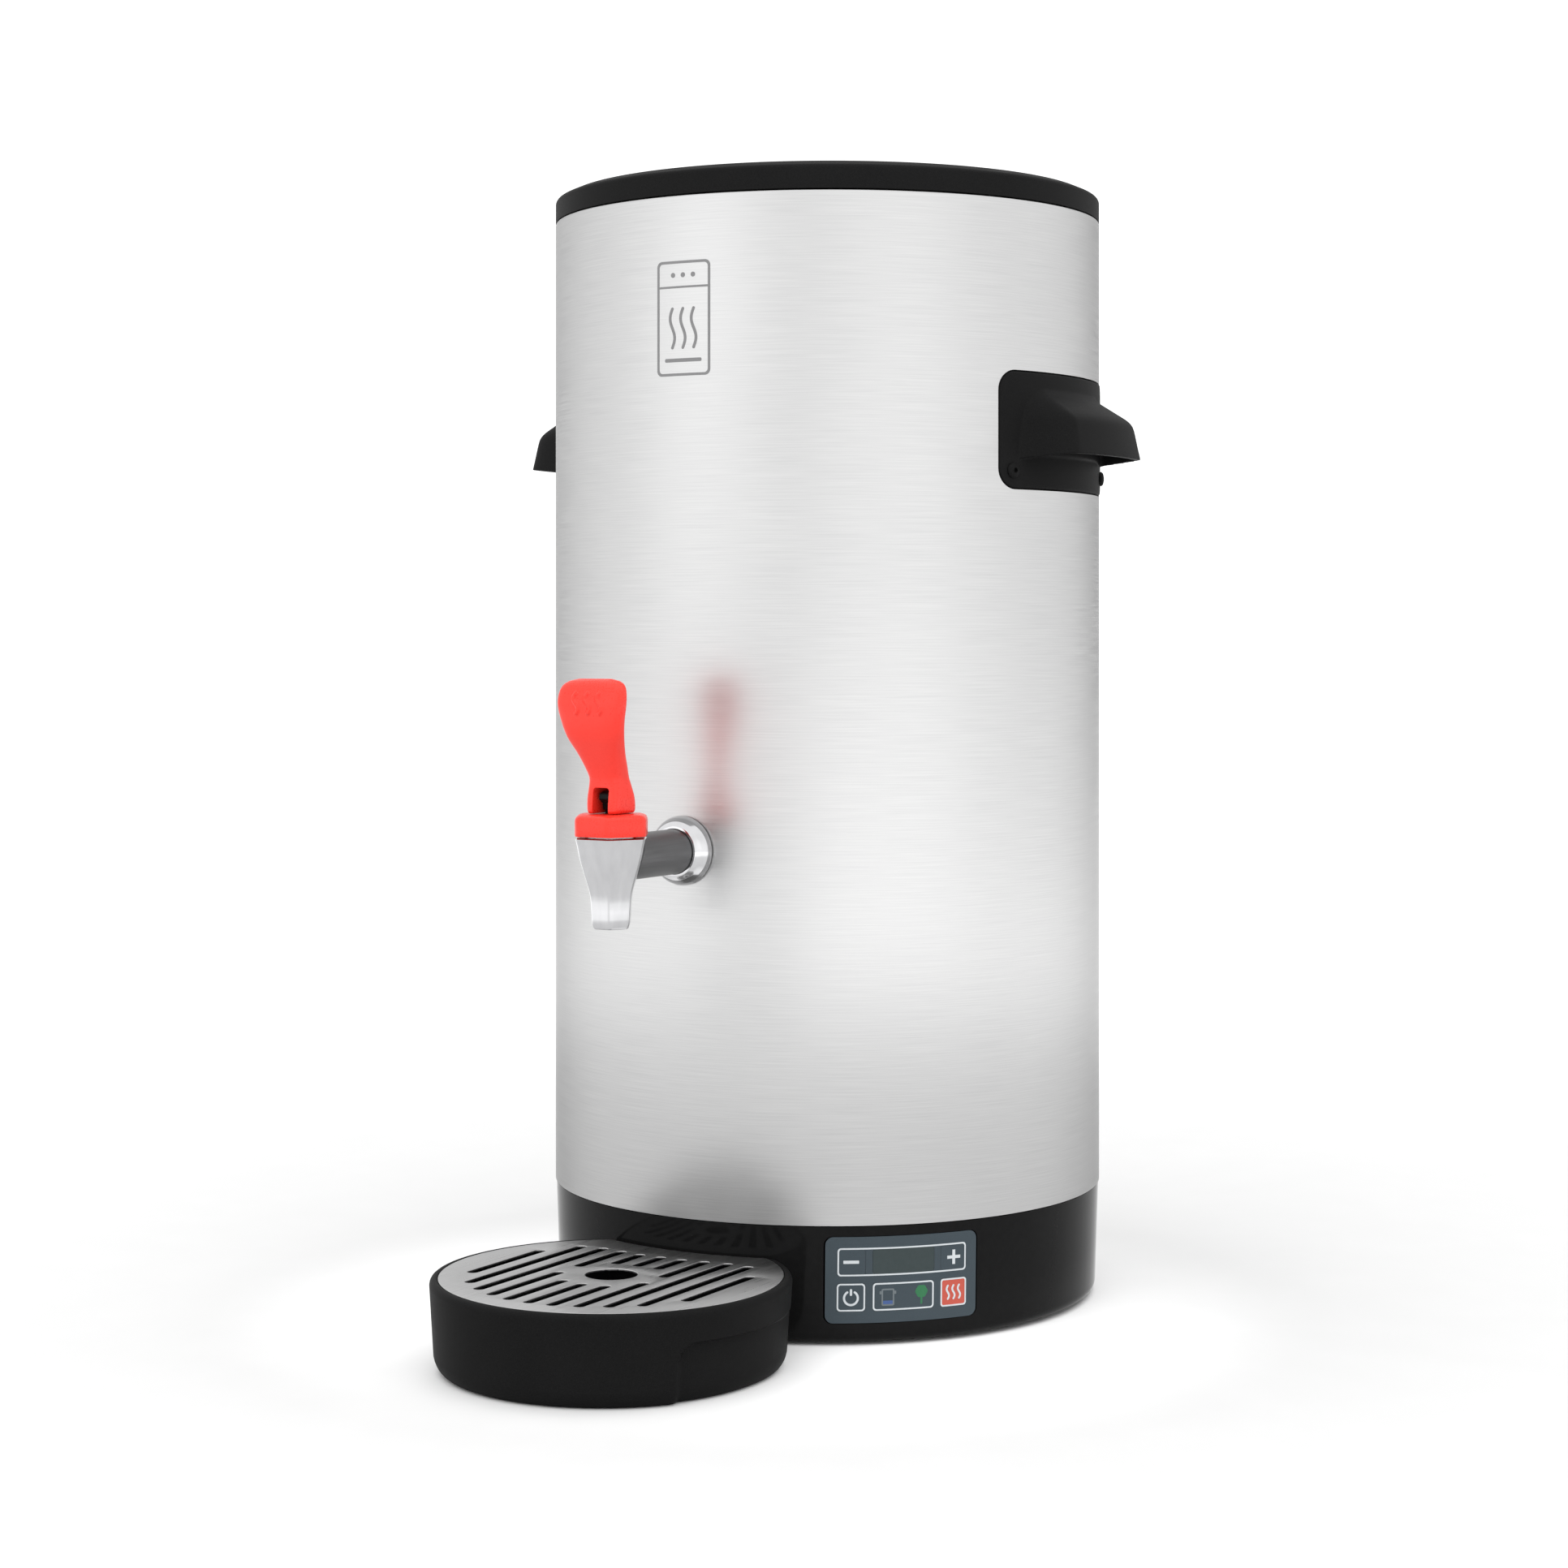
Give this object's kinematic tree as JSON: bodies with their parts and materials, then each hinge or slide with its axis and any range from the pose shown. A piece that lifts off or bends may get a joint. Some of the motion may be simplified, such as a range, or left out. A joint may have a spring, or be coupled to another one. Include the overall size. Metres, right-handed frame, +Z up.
{
  "type": "countertop hot-water dispenser",
  "caption": "Tall cylindrical stainless-steel hot-water dispenser with a lift-off lid, carrying handles, a lever tap, a control panel and a removable drip tray.",
  "frame": {"origin": "on the counter, under the middle of the footprint (body plus drip tray plus inlet); the body's own axis is 69.65 mm behind it", "axes": "+Z up, the tap and the drip tray face -Y, and the control panel is to the front right, towards +X"},
  "size_m": [0.3518, 0.4714, 0.6007],
  "materials": {
    "jacket_steel": "fine brushed stainless steel, grain running round the body",
    "tank_steel": "plain stainless sheet",
    "grid_steel": "satin stainless plate",
    "zinc_plate": "zinc-plated steel",
    "dark_steel": "dark satin metal",
    "tap_chrome": "satin chrome plate",
    "brass": "machined brass",
    "gloss_black": "gloss black moulding",
    "textured_black": "finely textured black moulding",
    "tap_red": "satin red moulding",
    "panel_slate": "slate blue-grey printed overlay",
    "key_red": "red printed key",
    "dark_window": "dark translucent window",
    "rubber": "black rubber",
    "silicone": "pale silicone",
    "foam": "insulating felt",
    "board": "circuit board"
  },
  "bodies": {
    "root": {"outer_jacket": "jacket_steel", "base_housing": "gloss_black", "bottom_plate": "zinc_plate", "foot_1": "rubber", "foot_2": "rubber", "foot_3": "rubber", "foot_4": "rubber", "base_screw_1": "zinc_plate", "base_screw_2": "zinc_plate", "base_screw_3": "zinc_plate", "base_screw_4": "zinc_plate", "tank_stand": "zinc_plate", "inner_tank": "tank_steel", "insulation_sleeve": "foam", "rim_ring": "textured_black", "heating_element": "dark_steel", "element_nut_1": "brass", "element_nut_2": "brass", "temperature_probe": "tank_steel", "level_probe": "tank_steel", "boil_dry_cutout": "gloss_black", "handle_right": "textured_black", "handle_left": "textured_black", "handle_strip_right": "zinc_plate", "handle_strip_left": "zinc_plate", "handle_screw_1": "textured_black", "handle_screw_2": "textured_black", "handle_screw_3": "textured_black", "handle_screw_4": "textured_black", "tap_shank": "dark_steel", "shank_escutcheon": "tap_chrome", "shank_washer": "silicone", "shank_lock_nut": "brass", "tap_body": "tap_chrome", "tap_bonnet": "tap_red", "tap_spring": "tank_steel", "control_panel": "panel_slate", "display_window": "dark_window", "indicator_window": "dark_window", "control_board": "board", "power_relay": "textured_black", "inlet_fitting": "brass", "inlet_solenoid": "textured_black", "inlet_hose": "silicone", "cable_gland": "textured_black"},
    "lid": {"lid": "textured_black", "lid_seal": "silicone", "lid_liner": "tank_steel", "lid_insulation": "foam"},
    "valve": {"valve_stem": "gloss_black", "seat_cup": "silicone"},
    "lever": {"tap_lever": "tap_red", "lever_pin": "zinc_plate"},
    "drip_tray": {"drip_tray": "textured_black"},
    "drip_grid": {"drip_grid": "grid_steel"},
    "key_minus": {"key_minus": "panel_slate"},
    "key_plus": {"key_plus": "panel_slate"},
    "key_power": {"key_power": "panel_slate"},
    "key_boil": {"key_boil": "key_red"}
  },
  "joints": [
    {"name": "lid_lift", "type": "slide", "parent": "root", "child": "lid", "axis": [0, 0, 1], "range_m": [0, 0.12]},
    {"name": "drip_tray_pull", "type": "slide", "parent": "root", "child": "drip_tray", "axis": [0, -1, 0], "range_m": [0, 0.08]},
    {"name": "drip_grid_lift", "type": "slide", "parent": "drip_tray", "child": "drip_grid", "axis": [0, 0, 1], "range_m": [0, 0.03]},
    {"name": "valve_lift", "type": "slide", "parent": "root", "child": "valve", "axis": [0, 0, 1], "range_m": [0, 0.0051], "deforming": ["tap_spring"]},
    {"name": "tap_lever_pull", "type": "hinge", "parent": "valve", "child": "lever", "pos_m": [0, -0.14635, 0.279], "axis": [1, 0, 0], "range_deg": [0, 30], "stiffness_Nm_per_rad": 0.0456, "springref_deg": -24.01},
    {"name": "key_minus_press", "type": "slide", "parent": "root", "child": "key_minus", "axis": [-0.5614, 0.8276, 0], "range_m": [0, 0.0004], "stiffness_N_per_m": 1500},
    {"name": "key_plus_press", "type": "slide", "parent": "root", "child": "key_plus", "axis": [-0.8207, 0.5714, 0], "range_m": [0, 0.0004], "stiffness_N_per_m": 1500},
    {"name": "key_power_press", "type": "slide", "parent": "root", "child": "key_power", "axis": [-0.5614, 0.8276, 0], "range_m": [0, 0.0004], "stiffness_N_per_m": 1500},
    {"name": "key_boil_press", "type": "slide", "parent": "root", "child": "key_boil", "axis": [-0.8207, 0.5714, 0], "range_m": [0, 0.0004], "stiffness_N_per_m": 1500}
  ],
  "couplings": [
    {"joint": "valve_lift", "follows": "tap_lever_pull", "m_per_rad": 0.009549}
  ]
}
